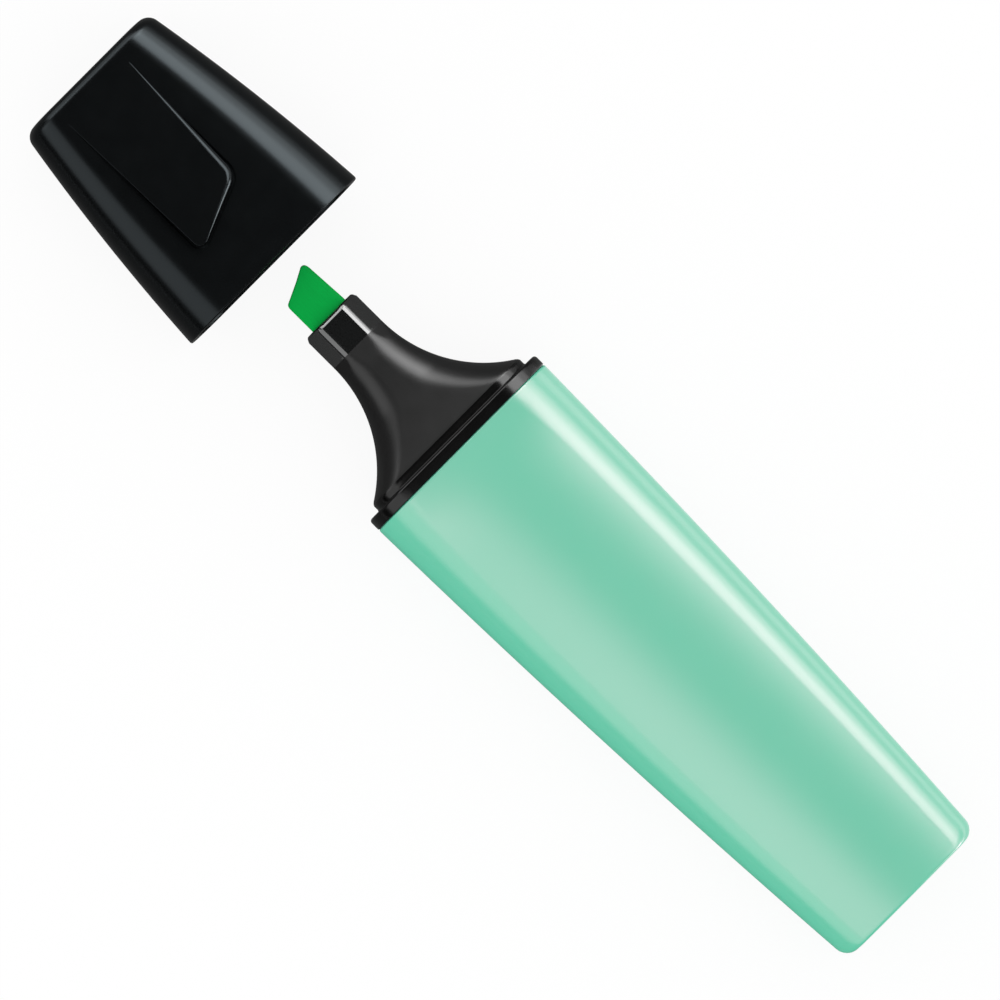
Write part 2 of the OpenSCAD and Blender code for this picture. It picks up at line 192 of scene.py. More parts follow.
class NoseSizes(PropertyGroup):
    """Sizes of the nose moulding"""

    flange: size("Flange", "Thickness of the flange between cap and barrel", 1.5)
    flange_rear_round: size("Flange rear rounding", "Rounding of the flange's edge at the barrel", 0.12)
    flange_front_round: size("Flange front rounding", "Rounding of the flange's edge at the cap", 0.4)
    foot_inset: size("Foot inset", "Step from the cap's outside to the foot that it grips", 1.5)
    foot_length: size("Foot length", "Length of the straight foot", 1)
    foot_fillet: size("Foot fillet", "Hollow rounding between foot and flange", 0.2)
    flare_length: size("Flare length", "Length of the concave flare", 14.3)
    flare_lean: number("Flare lean", "Share of the broad faces' rise that is straight", 0.5)
    bend_soft: size("Bend softness", "Reach over which the bends along the nose round off", 0.25)
    holder_width: size("Holder width", "Width of the nib holder", 7.8)
    holder_height: size("Holder thickness", "Thickness of the nib holder", 6.1)
    holder_radius: size("Holder edge radius", "Radius of the nib holder's long edges", 2.9)
    holder_flat: size("Holder flat", "Width of the nib holder's flat faces", 2.8)
    holder_shoulder: size("Holder shoulder", "Radius beside the nib holder's flat faces", 1.25)
    holder_side: size("Holder side", "Height of the nib holder's upright sides", 1)
    holder_edge: size("Holder side radius", "Radius above and under the upright sides", 0.9)
    holder_blend: size("Holder blend", "Length over which the flare takes on the holder's bevels", 2.5)
    rim_bevel: size("Rim bevel", "Width of the narrow bevel round the nib holder's front", 0.3)
    rim_lean: angle("Rim lean", "Lean of that bevel", 29)
    rim_soft: size("Rim softening", "Rounding between the holder's length and that bevel", 0.2)
    rim_round: size("Rim rounding", "Rounding between that bevel and the front", 0.55)
    bevel_share: number("Long bevel share", "Share of the rim left on the long bevels beside the nib", 0.64)
    channel_fit: size("Channel fit", "Clearance of the nib in its channel", 0.05)
    channel_chamfer: size("Channel chamfer", "Bevel of the channel's mouth", 0.12)
    guide_wall: size("Guide wall", "Wall of the tube that guides the nib inside", 0.8)
    wall: size("Nose wall", "Wall of the hollow flare", 1.2)
    solid: size("Solid length", "Length of the flare that is solid, behind the holder", 7)
    spigot_length: size("Spigot length", "Length of the spigot that plugs into the barrel", 8)
    spigot_fit: size("Spigot fit", "Clearance of the spigot in the barrel", 0.1)
    bead_place: size("Bead place", "Distance of the snap bead behind the flange", 4)
    bead_height: size("Bead height", "Height of the snap bead round the spigot", 0.3)


class NibSizes(PropertyGroup):
    """Sizes of the chisel nib"""

    edge_radius: size("Edge radius", "Radius of the nib's long edges", 0.5)
    slant: angle("Slant", "Slant of the chisel cut", 25)
    long_radius: size("Long corner radius", "Rounding of the long corner", 0.6)
    short_radius: size("Short corner radius", "Rounding of the short corner", 0.5)
    cut_round: size("Cut rounding", "Rounding of the edges round the chisel cut", 0.22)
    taper: size("Taper", "How far the long side draws in towards the tip", 0.35)


class ClipSizes(PropertyGroup):
    """Sizes of the cap's clip, measured from the cap's top"""

    hidden_start: size("Hidden start", "Where the clip's root begins, inside the wall", 1.6)
    start: size("Start", "Where the clip rises from the face", 2.7)
    root: size("Root", "Where the slit under the clip ends", 9.5)
    short_side: size("Short side", "Length of the short side", 20.5)
    long_side: size("Long side", "Length of the long side", 24.1)
    short_reach: size("Short reach", "Reach of the short side from the middle", 4)
    long_reach: size("Long reach", "Reach of the long side from the middle", 5)
    spread: size("Spread", "How much further each side reaches at the cap's top", 0.6)
    rise: size("Rise", "Height of the free end over the cap's face", 1.7)
    thickness: size("Thickness", "Thickness of the clip", 1.2)
    long_radius: size("Long corner radius", "Rounding of the long free corner, seen from above", 0.9)
    short_radius: size("Short corner radius", "Rounding of the short free corner, seen from above", 2.2)
    edge_round: size("Edge rounding", "Rounding of the outer edge at the short free corner", 0.85)
    under_round: size("Under rounding", "Rounding of the under edge", 0.1)
    slit_side: size("Side gap", "Gap beside the clip", 0.4)
    root_depth: size("Root depth", "Depth of the pocket at the clip's root", 0.9)
    end_depth: size("End depth", "Depth of the pocket at the clip's free end", 0.2)


class Finishes(PropertyGroup):
    """Colours of the materials"""

    mint: colour("Mint", "Pastel mint of the barrel", "#60D7B2")
    mint_gloss: colour("Mint gloss", "Tint of the barrel's highlights", "#EDA7C4")
    nose_black: colour("Nose black", "Black of the nose moulding", "#050505")
    # The holder is the same black plastic as the rest of the nose; its lighter black is painted sheen.
    holder_black_painted_lighter: colour("Holder black", "Black of the polished nib holder", "#191A1A")
    cap_black: colour("Cap black", "Black of the cap", "#040404")
    cap_gloss: colour("Cap gloss", "Tint of the cap's highlights", "#E8F8FF")
    ink: colour("Ink", "Wet ink in the nib", "#00AA45")
    core: colour("Core", "Ink-soaked core of the reservoir", "#4CC58E")
    film: colour("Film", "Film round the reservoir", "#DCEBE5")
    natural: colour("Natural", "Unpigmented plastic of the inner cup", "#DFE2DA")
    floor: colour("Floor", "Floor, backdrop and room", "#FFFFFF")
    cap_card: colour("Cap card", "Card round the cap and the nose", "#707070")
    left_card: colour("Left card", "Card on the barrel's left", "#6C6C6C")
    # The right card is white and also glows by its own emission, set by card_glow.
    right_card: colour("Right card", "Lit card on the barrel's right", "#FFFFFF")


class StageSettings(PropertyGroup):
    """Camera and studio lamps"""

    frame_width: size("Frame width", "Width that the picture shows at the middle of the pen", 115.5)
    centre_x: size("Picture centre X", "Point under the camera along the pen", -1.38)
    centre_y: size("Picture centre Y", "Point under the camera across the pen", 1.17)
    roll: angle("Roll", "Turn of the camera about its own line of sight", -135.17)
    lens: FloatProperty(name="Lens", description="Focal length", default=500, unit="CAMERA")
    room: number("Room", "Level of the even light of the room", 1)
    right_upper: number("Right upper", "Brightness of the panel on the right", 5.8)
    right_lower: number("Right lower", "Brightness of the panel under it", 3.3)
    right_skirt: number("Right skirt", "Brightness of the lowest panel on the right", 1)
    front_right: number("Front right", "Brightness of the panel ahead on the right", 3.3)
    left_over: number("Left over", "Brightness of the panel over the barrel", 2.7)
    left_upper: number("Left upper", "Brightness of the panel on the left", 1.3)
    left_lower: number("Left lower", "Brightness of the panel under it", 1.3)
    front_left: number("Front left", "Brightness of the panel ahead on the left", 0.5)
    front: number("Front", "Brightness of the panel beyond the cap", 1.6)
    nose_strip: number("Nose strip", "Brightness of the strip over the cap", 3)
    # The right card glows by its own emission, though it is no lamp; only reflections show the glow, along
    # the barrel's right edge.
    card_glow: number("Card glow", "Extra light on the card on the right", 1.2)
    kicker: number("Kicker", "Brightness of the small panel behind on the right", 10)


class HighlighterSettings(PropertyGroup):
    """All settings of the highlighter"""

    shell: PointerProperty(type=ShellSizes)
    nose: PointerProperty(type=NoseSizes)
    nib: PointerProperty(type=NibSizes)
    clip: PointerProperty(type=ClipSizes)
    finishes: PointerProperty(type=Finishes)
    stage: PointerProperty(type=StageSettings)


def lerp(start, end, share):
    """Value between start and end."""
    return start + (end - start) * share


def bowed(start, end, bow, share):
    """Width between start and end, with both sides bowed outward, which is most at half length."""
    return lerp(start, end, share) + 2 * bow * 4 * share * (1 - share)


def clamped(value):
    """Value held between 0 and 1."""
    return min(max(value, 0), 1)


def eased(share):
    """A share from 0 to 1 that starts and ends gently."""
    return share * share * (3 - 2 * share)


def spaced(start, end, steps):
    """Evenly spaced values from start to end."""
    return [lerp(start, end, k / steps) for k in range(steps + 1)]


def rim(radius, steps=RIM_STEPS):
    """A rounded rim from the side to the end: how far back from the end and how far in from the side."""
    angles = spaced(0, math.pi / 2, steps)
    return [(radius * (1 - math.sin(a)), radius * (1 - math.cos(a))) for a in angles]


def drawn_in(radius, back):
    """How far in from the side a rounded rim is at some distance back from the end."""
    return radius - math.sqrt(radius ** 2 - max(radius - back, 0) ** 2)


def arc(x, y, z, radius, start, end):
    """Points of an arc across the pen at x, between two angles."""
    return [
        Vector((x, y + radius * math.cos(a), z + radius * math.sin(a)))
        for a in spaced(start, end, CORNER_STEPS)
    ]


def ring(x, width, low, high, radius, inset=0.0, lean=0.0, face_steps=FACE_STEPS):
    """Outline of a rounded rectangle across the pen at x, drawn in by inset, or grown where it is negative.

    Its upper face swells by the angle lean.
    """
    width -= 2 * inset
    low += inset
    high -= inset
    radius = max(radius - inset, LEAST_RADIUS)
    half = width / 2 - radius
    shoulder = high - half * math.tan(lean / 2) - radius
    face_y = half + radius * math.sin(lean)
    face_z = shoulder + radius * math.cos(lean)
    shares = spaced(1, -1, face_steps)[1:-1]
    quarter = math.pi / 2
    upper = [Vector((x, f * face_y, lerp(high, face_z, f * f))) for f in shares]
    lower = [Vector((x, -f * half, low)) for f in shares]
    return (
        arc(x, half, shoulder, radius, 0, quarter - lean)
        + upper
        + arc(x, -half, shoulder, radius, quarter + lean, 2 * quarter)
        + arc(x, -half, low + radius, radius, 2 * quarter, 3 * quarter)
        + lower
        + arc(x, half, low + radius, radius, 3 * quarter, 4 * quarter)
    )


def loft(name, rings, looped=False):
    """Object with a skin of quads through a row of outlines, closed at both ends or into a loop."""
    count = len(rings[0])
    faces = []
    for i in range(len(rings) if looped else len(rings) - 1):
        first = i * count
        second = (i + 1) % len(rings) * count
        for j in range(count):
            k = (j + 1) % count
            faces.append((first + j, first + k, second + k, second + j))
    if not looped:
        for start in (0, (len(rings) - 1) * count):
            for j in range(count // 2 - 1):
                faces.append((start + j, start + j + 1, start + count - 2 - j, start + count - 1 - j))
    mesh = bpy.data.meshes.new(name)
    mesh.from_pydata([p for r in rings for p in r], [], faces)
    return bpy.data.objects.new(name, turn_outward(mesh))


def turn_outward(mesh):
    """Turn all faces of a closed mesh outward and shade it smooth, but for its sharp edges."""
    work = bmesh.new()
    work.from_mesh(mesh)
    bmesh.ops.recalc_face_normals(work, faces=work.faces)
    work.to_mesh(mesh)
    work.free()
    mesh.shade_smooth()
    mesh.set_sharp_from_angle(angle=SHARP_ANGLE)
    return mesh


def place(piece, body, node, slot, *materials):
    """Show a piece on its body in place of its solid, with its materials."""
    bpy.context.scene.collection.objects.link(piece)
    for material in materials:
        piece.data.materials.append(material)
    weighted = piece.modifiers.new("Even shading", "WEIGHTED_NORMAL")
    weighted.keep_sharp = True
    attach(piece, body)
    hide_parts(node)


def barrel_ring(shell, behind, inset=0.0, face_inset=None):
    """The barrel's outline behind the flange, drawn in by inset, or by face_inset at its broad faces."""
    face = inset if face_inset is None else face_inset
    share = behind / shell.barrel_length
    width = bowed(shell.seam_width, shell.rear_width, shell.barrel_bow, share) - 2 * inset
    height = lerp(shell.seam_height, shell.rear_height, share)
    radius = lerp(shell.seam_radius, shell.rear_radius, share) - inset
    flatness = 1 - clamped(behind / shell.swell_run)
    lean = shell.swell_lean * (1 - flatness ** 2)
    return ring(BARREL_HIGH.x - behind, width, face, height - face, radius, lean=lean)


def barrel_rings(shell):
    """Outlines of the barrel: from the bottom of its hollow out over the lip to the rear end."""
    hollow = spaced(shell.barrel_length - shell.barrel_floor, 0, LONG_STEPS // 2)
    rings = [barrel_ring(shell, d, shell.barrel_wall) for d in hollow]
    rings += [barrel_ring(shell, back, inward) for back, inward in reversed(rim(shell.lip_round))]
    side = spaced(shell.lip_round, shell.barrel_length - shell.rear_round, LONG_STEPS)
    rings += [barrel_ring(shell, d) for d in side[1:-1]]
    ends = [back for back, inward in rim(shell.rear_round) if back > shell.rear_edge]
    ends += [back for back, inward in rim(shell.rear_edge)]
    for back in ends:
        inset = drawn_in(shell.rear_round, back)
        face_inset = drawn_in(shell.rear_edge, back)
        rings.append(barrel_ring(shell, shell.barrel_length - back, inset, face_inset))
    return rings


def cap_height(shell, mouth):
    """Thickness of the cap at some distance from its mouth."""
    return lerp(shell.seam_height, shell.cap_top_height, mouth / shell.cap_length)


def cap_width(shell, mouth):
    """Width of the cap at some distance from its mouth."""
    return bowed(shell.seam_width, shell.cap_top_width, shell.cap_bow, mouth / shell.cap_length)


def cap_ring(shell, mouth, inset=0.0):
    """The cap's outline at some distance from its mouth, drawn in by inset."""
    radius = lerp(shell.seam_radius, shell.cap_top_radius, mouth / shell.cap_length)
    return ring(CAP_LOW.x + mouth, cap_width(shell, mouth), 0, cap_height(shell, mouth), radius, inset)


def cup_ring(shell, x, inset=0.0):
    """The inner cup's outline at x, drawn in by inset."""
    return ring(x, CUP_HIGH.y - CUP_LOW.y, CUP_LOW.z, CUP_HIGH.z, shell.cup_radius, inset)


def cap_rings(shell):
    """Outlines of the cap: from the seat of the inner cup out over the mouth to the top."""
    seat_x = CUP_HIGH.x + shell.cup_fit
    collar_x = seat_x - shell.collar_length
    outer = shell.cup_fit + shell.collar_wall
    rings = [cup_ring(shell, seat_x, -shell.cup_fit), cup_ring(shell, collar_x, -shell.cup_fit)]
    rings += [cup_ring(shell, collar_x, -outer), cup_ring(shell, seat_x, -outer)]
    hollow = spaced(seat_x - CAP_LOW.x, shell.mouth_round, LONG_STEPS // 2)
    rings += [cap_ring(shell, m, shell.cap_wall) for m in hollow[:-1]]
    rings += [cap_ring(shell, back, shell.cap_wall - inward) for back, inward in rim(shell.mouth_round)]
    rings += [cap_ring(shell, back, inward) for back, inward in reversed(rim(shell.mouth_round))]
    side = spaced(shell.mouth_round, shell.cap_length - shell.cap_round, LONG_STEPS)
    rings += [cap_ring(shell, m) for m in side[1:-1]]
    rings += [cap_ring(shell, shell.cap_length - back, inward) for back, inward in rim(shell.cap_round)]
    return rings


def cup_rings(shell):
    """Outlines of the inner cup: from its bottom inside out over the rim to its bottom outside."""
    wall = shell.cup_wall
    edge = rim(shell.cup_round)
    low = CUP_LOW.x + shell.cup_round
    inside = spaced(CUP_HIGH.x - shell.cup_floor, low, SHORT_STEPS)
    outside = spaced(low, CUP_HIGH.x - shell.cup_round, SHORT_STEPS)
    rings = [cup_ring(shell, x, wall) for x in inside]
    rings += [cup_ring(shell, CUP_LOW.x + back, wall - inward) for back, inward in edge[1:]]
    rings += [cup_ring(shell, CUP_LOW.x + back, inward) for back, inward in reversed(edge)]
    rings += [cup_ring(shell, x) for x in outside[1:-1]]
    rings += [cup_ring(shell, CUP_HIGH.x - back, inward) for back, inward in edge]
    return rings


def nose_x(nose, ahead):
    """Place along X at some distance ahead of the flange."""
    return BARREL_HIGH.x + nose.flange + ahead


def seam_ring(shell, nose, ahead, inset):
    """The flange's outline ahead of its front, drawn in by inset."""
    return ring(nose_x(nose, ahead), shell.seam_width, 0, shell.seam_height, shell.seam_radius, inset)


def channel_ring(nib, nose, x, grow=0.0):
    """Outline of the nib's channel at x, grown by some amount."""
    inset = -(nose.channel_fit + grow)
    return ring(x, NIB_HIGH.y - NIB_LOW.y, NIB_LOW.z, NIB_HIGH.z, nib.edge_radius, inset)


def nose_half(shell, nose, ahead):
    """Half width, half thickness and edge radius of the nose ahead of the flange."""
    foot_width = cap_width(shell, nose.foot_length) - 2 * nose.foot_inset
    foot_height = cap_height(shell, nose.foot_length) - 2 * nose.foot_inset
    flare_end = nose.foot_length + nose.flare_length
    run = min(max(flare_end - ahead, 0), nose.flare_length)
    rise = (foot_width - nose.holder_width) / 2
    arc_radius = (nose.flare_length ** 2 + rise ** 2) / (2 * rise)
    side = arc_radius - math.sqrt(arc_radius ** 2 - run ** 2)
    share = run / nose.flare_length
    bend = nose.flare_lean * share + (1 - nose.flare_lean) * share * share
    face = (foot_height - nose.holder_height) / 2 * bend
    radius = min(nose.holder_radius + face, shell.seam_radius - nose.foot_inset)
    return nose.holder_width / 2 + side, nose.holder_height / 2 + face, radius


def holder_ring(nose, x, half_width, half_height, inset):
    """Outline of the nib holder at x, eight-sided with rounded edges, drawn in by inset."""
    shoulder_y = half_width - (nose.holder_width - nose.holder_flat) / 2
    shoulder_z = half_height - nose.holder_shoulder
    edge_y = half_width - nose.holder_edge
    corner = []
    for a in spaced(0, math.pi / 2, CORNER_STEPS):
        # The wall beside the nib is thinnest at the bevels, so they are drawn in less
        inward = inset * lerp(1, nose.bevel_share, math.sin(2 * a))
        if a < BEVEL_ANGLE:
            y, z, radius = edge_y, nose.holder_side / 2, nose.holder_edge - inward
        else:
            y, z, radius = shoulder_y, shoulder_z, nose.holder_shoulder - inward
        corner.append((y + radius * math.cos(a), z + radius * math.sin(a)))
    flat_y, flat_z = corner[-1]
    face = [(f * flat_y, flat_z) for f in spaced(1, -1, FACE_STEPS)[1:-1]]
    upper = corner + face + [(-y, z) for y, z in reversed(corner)]
    lower = [(-y, -z) for y, z in upper]
    return [Vector((x, y, AXIS_Z + z)) for y, z in upper + lower]


def holder_rim(nose):
    """The nib holder's rim from its length to its front: how far back from the front and how far in."""
    lean = nose.rim_lean
    soft = nose.rim_soft
    steps = [(soft * math.sin(a), soft * (1 - math.cos(a))) for a in spaced(0, lean, SOFT_STEPS)]
    ahead, inward = steps[-1]
    ahead += nose.rim_bevel * math.cos(lean) - nose.rim_round * math.sin(lean)
    inward += nose.rim_bevel * math.sin(lean) + nose.rim_round * math.cos(lean)
    steps += [
        (ahead + nose.rim_round * math.sin(a), inward - nose.rim_round * math.cos(a))
        for a in spaced(lean, math.pi / 2, RIM_STEPS)
    ]
    front = steps[-1][0]
    return [(front - forward, inward) for forward, inward in steps]


def nose_ring(shell, nose, ahead, inset=0.0):
    """The nose's outline ahead of the flange, drawn in by inset, with its bends rounded off."""
    samples = [nose_half(shell, nose, ahead + u * nose.bend_soft) for u in spaced(-1, 1, 4)]
    half_width, half_height, radius = (sum(values) / len(samples) for values in zip(*samples))
    x = nose_x(nose, ahead)
    outline = ring(x, 2 * half_width, AXIS_Z - half_height, AXIS_Z + half_height, radius, inset)
    past_flare = ahead - nose.foot_length - nose.flare_length
    share = clamped(1 + past_flare / nose.holder_blend)
    if share == 0:
        return outline
    bevelled = holder_ring(nose, x, half_width, half_height, inset)
    return [p.lerp(q, eased(share)) for p, q in zip(outline, bevelled)]


def spigot_rings(shell, nose):
    """Outlines of the spigot, from its rear end over the snap bead to the flange."""
    inset = shell.barrel_wall + nose.spigot_fit
    bead = nose.bead_height
    rings = [barrel_ring(shell, nose.spigot_length, inset + bead)]
    rings.append(barrel_ring(shell, nose.spigot_length - 2 * bead, inset))
    # The bead is three times as wide at its foot as at its crest
    for offset, height in ((1.5, 0), (0.5, bead), (-0.5, bead), (-1.5, 0)):
        rings.append(barrel_ring(shell, nose.bead_place + offset * bead, inset - height))
    rings.append(barrel_ring(shell, 0, inset))
    return rings


def nose_skin(shell, nose):
    """Outlines of the nose's outside: flange, foot, flare and nib holder."""
    rear_edge = reversed(rim(nose.flange_rear_round))
    rings = [seam_ring(shell, nose, back - nose.flange, inward) for back, inward in rear_edge]
    rings += [seam_ring(shell, nose, -back, inward) for back, inward in rim(nose.flange_front_round)]
    rings += [nose_ring(shell, nose, back, -inward) for back, inward in reversed(rim(nose.foot_fillet))]
    soft = nose.bend_soft
    flare_end = nose.foot_length + nose.flare_length
    holder_end = NOSE_HIGH.x - BARREL_HIGH.x - nose.flange
    stations = spaced(nose.foot_fillet, nose.foot_length - soft, SHORT_STEPS)[1:]
    stations += spaced(nose.foot_length - soft, nose.foot_length + soft, SHORT_STEPS)[1:]
    stations += spaced(nose.foot_length + soft, flare_end - soft, FLARE_STEPS)[1:]
    stations += spaced(flare_end - soft, flare_end + soft, SHORT_STEPS)[1:]
    front_rim = holder_rim(nose)
    stations += spaced(flare_end + soft, holder_end - front_rim[0][0], SHORT_STEPS)[1:-1]
    rings += [nose_ring(shell, nose, ahead) for ahead in stations]
    rings += [nose_ring(shell, nose, holder_end - back, inward) for back, inward in front_rim]
    return rings


def nose_inside(shell, nose, nib):
    """Outlines of the nose's inside: the nib's channel, the guide tube round it and the hollow."""
    front = NOSE_HIGH.x
    guide_rear = BARREL_HIGH.x - nose.spigot_length
    hollow_front = nose.foot_length + nose.flare_length - nose.solid
    channel = spaced(front - nose.channel_chamfer, guide_rear, SHORT_STEPS)
    guide = spaced(guide_rear, nose_x(nose, hollow_front), SHORT_STEPS)
    hollow = spaced(hollow_front, nose.foot_length, FLARE_STEPS // 2)
    inset = shell.barrel_wall + nose.spigot_fit + nose.wall
    rings = [channel_ring(nib, nose, front, nose.channel_chamfer)]
    rings += [channel_ring(nib, nose, x) for x in channel]
    rings += [channel_ring(nib, nose, x, nose.guide_wall) for x in guide]
    rings += [nose_ring(shell, nose, ahead, nose.wall) for ahead in hollow]
    rings += [barrel_ring(shell, d, inset) for d in spaced(0, nose.spigot_length, SHORT_STEPS)]
    return rings


def nib_ring(nib, inset=0.0):
    """Outline of the nib, drawn in by inset, whose place along X is still to be set."""
    return ring(
        0, NIB_HIGH.y - NIB_LOW.y, NIB_LOW.z, NIB_HIGH.z, nib.edge_radius, inset, face_steps=NIB_FACE_STEPS
    )


def nib_end(nib, y):
    """How far the chisel reaches along X at y: two rounded corners on one slanted line."""
    long_x = NIB_HIGH.x - nib.long_radius
    long_y = NIB_LOW.y + nib.long_radius
    short_y = NIB_HIGH.y - nib.short_radius
    sine = math.sin(nib.slant)
    cosine = math.cos(nib.slant)
    short_x = long_x + ((long_y - short_y) * sine + nib.long_radius - nib.short_radius) / cosine
    if y < long_y + nib.long_radius * sine:
        return long_x + math.sqrt(max(nib.long_radius ** 2 - (y - long_y) ** 2, 0))
    if y > short_y + nib.short_radius * sine:
        return short_x + math.sqrt(max(nib.short_radius ** 2 - (y - short_y) ** 2, 0))
    return long_x + (nib.long_radius - (y - long_y) * sine) / cosine


def nib_rings(nib):
    """Outlines of the nib: straight along its tail, then sheared to the chisel cut."""
    rings = []
    for share in spaced(0, 1, LONG_STEPS):
        outline = nib_ring(nib)
        for point in outline:
            point.x = lerp(NIB_LOW.x, nib_end(nib, point.y) - nib.cut_round, share)
        rings.append(outline)
    for back, inward in rim(nib.cut_round)[1:]:
        outline = nib_ring(nib, inward)
        for point in outline:
            point.x = nib_end(nib, point.y) - back
        rings.append(outline)
    # The long side is pressed in a little by use, from the holder to the tip
    for point in (p for outline in rings for p in outline if p.y < 0):
        out = max(point.x - NOSE_HIGH.x, 0) / (NIB_HIGH.x - NOSE_HIGH.x)
        point.y *= 1 + nib.taper * out / NIB_LOW.y
    return rings


def rounded_outline(corners, radii, inset):
    """Points of a polygon with rounded corners, drawn in by inset; corners run anticlockwise."""
    points = []
    for k, corner in enumerate(corners):
        before = (corner - corners[k - 1]).normalized()
        after = (corners[(k + 1) % len(corners)] - corner).normalized()
        turn = before.angle(after)
        inward = (after - before).normalized()
        centre = corner + inward * radii[k] / math.cos(turn / 2)
        start = math.atan2(-before.x, before.y)
        for a in spaced(start, start + turn, CORNER_STEPS):
            points.append(centre + (radii[k] - inset) * Vector((math.cos(a), math.sin(a))))
    return points


def clip_corners(clip, root):
    """The clip's corners seen from above, anticlockwise from its long free corner, as X and Y."""
    short_y = clip.short_reach + clip.spread * (1 - root / clip.short_side)
    long_y = clip.long_reach + clip.spread * (1 - root / clip.long_side)
    return [
        Vector((CAP_HIGH.x - clip.long_side, clip.long_reach)),
        Vector((CAP_HIGH.x - clip.short_side, -clip.short_reach)),
        Vector((CAP_HIGH.x - root, -short_y)),
        Vector((CAP_HIGH.x - root, long_y)),
    ]


def clip_rings(shell, clip):
    """Outlines of the clip, from its under face up over the outer edge.

    That edge is roundest at the short free corner, and crisp at the root and along the long side.
    """
    corners = clip_corners(clip, clip.hidden_start)
    radii = [clip.long_radius, clip.short_radius, clip.edge_round, clip.edge_round]
    outer = rounded_outline(corners, radii, 0)
    inner = rounded_outline(corners, radii, clip.edge_round)

    def outline(depth, inset, shallow):
        loop = []
        for p, q in zip(outer, inner):
            ahead = (CAP_HIGH.x - p.x - clip.start) / (clip.short_side - clip.start)
            aside = (clip.long_reach - p.y) / (clip.long_reach + clip.short_reach)
            share = max(clamped(ahead) ** CLIP_ALONG * clamped(aside) ** CLIP_ACROSS, CLIP_LEAST)
            spot = p.lerp(q, inset * share / clip.edge_round)
            from_top = CAP_HIGH.x - spot.x
            face = cap_height(shell, shell.cap_length - from_top)
            lift = clip.rise * (from_top - clip.start) / (clip.long_side - clip.start)
            loop.append(Vector((spot.x, spot.y, face + lift - depth - shallow * share)))
        return loop

    rings = [outline(clip.thickness - back, inward, 0) for back, inward in reversed(rim(clip.under_round))]
    rings += [outline(0, inward, back) for back, inward in rim(clip.edge_round)]
    return rings


def pocket_rings(shell, clip):
    """Outlines of the pocket in the cap's face: its gap beside the clip opens from the clip's root."""
    corners = clip_corners(clip, clip.root)
    radii = [clip.long_radius, clip.short_radius, clip.slit_side, clip.slit_side]
    inner = rounded_outline(corners, radii, 0)
    outer = rounded_outline(corners, radii, -clip.slit_side)
    floor = []
    for p, q in zip(inner, outer):
        share = (CAP_HIGH.x - p.x - clip.root) / (clip.short_side - clip.root)
        spot = p.lerp(q, max(clamped(share), POCKET_LEAST))
        from_top = CAP_HIGH.x - spot.x
        depth = lerp(clip.root_depth, clip.end_depth, (from_top - clip.root) / (clip.long_side - clip.root))
        floor.append(Vector((spot.x, spot.y, cap_height(shell, shell.cap_length - from_top) - depth)))
    # The pocket is cut from well over the cap
    return [floor, [Vector((p.x, p.y, 2 * CAP_HIGH.z)) for p in floor]]


def cut(piece, cutter):
    """Cut one mesh out of another and keep the result as the piece's own mesh."""
    scene = bpy.context.scene
    for thing in (piece, cutter):
        scene.collection.objects.link(thing)
    boolean = piece.modifiers.new("Cut", "BOOLEAN")
    boolean.operation = "DIFFERENCE"
    boolean.solver = "EXACT"
    boolean.object = cutter
    seen = piece.evaluated_get(bpy.context.evaluated_depsgraph_get())
    mesh = bpy.data.meshes.new_from_object(seen)
    piece.modifiers.clear()
    piece.data = turn_outward(mesh)
    scene.collection.objects.unlink(piece)
    bpy.data.objects.remove(cutter)


def bare_tree(owner):
    """The emptied node tree of a material or of the world."""
    owner.use_nodes = True
    owner.node_tree.nodes.clear()
    return owner.node_tree


def add_node(tree, kind, fields=None, sockets=None):
    """Add one node, set its own fields, and set or link its input sockets."""
    node = tree.nodes.new(kind)
    for field, value in (fields or {}).items():
        setattr(node, field, value)
    for socket, value in (sockets or {}).items():
        if isinstance(value, bpy.types.NodeSocket):
            tree.links.new(value, node.inputs[socket])
        else:
            node.inputs[socket].default_value = value
    return node


def new_material(name, **sockets):
    """A material with one Principled shader, whose constant sockets are set here."""
    material = bpy.data.materials.new(name)
    tree = bare_tree(material)
    names = {key: key.replace("_", " ").title().replace("Ior", "IOR") for key in sockets}
    shader = add_node(tree, "ShaderNodeBsdfPrincipled", sockets={names[k]: v for k, v in sockets.items()})
    add_node(tree, "ShaderNodeOutputMaterial", sockets={"Surface": shader.outputs["BSDF"]})
    return material, tree, shader


def scaled(tone, factor):
    """A colour made lighter or darker."""
    return [min(c * factor, 1.0) for c in tone[:3]] + [1.0]


def streaked(tree, shader, base, long, wide, darker, lighter, detail=2.0):
    """Colour a shader with streaks along the pen, of a real length and width, and return their pattern."""
    spot = add_node(tree, "ShaderNodeTexCoord").outputs["Object"]
    scale = (1 / long, 1 / wide, 1 / wide)
    drawn = add_node(tree, "ShaderNodeMapping", sockets={"Vector": spot, "Scale": scale})
    pattern = add_node(
        tree, "ShaderNodeTexNoise",
        sockets={"Vector": drawn.outputs["Vector"], "Scale": 1.0, "Detail": detail},
    ).outputs["Fac"]
    tone = add_node(
        tree, "ShaderNodeMix", {"data_type": "RGBA"},
        {MIX_FACTOR: pattern, MIX_FIRST: scaled(base, darker), MIX_SECOND: scaled(base, lighter)},
    )
    tree.links.new(tone.outputs[MIX_RESULT], shader.inputs["Base Color"])
    return pattern


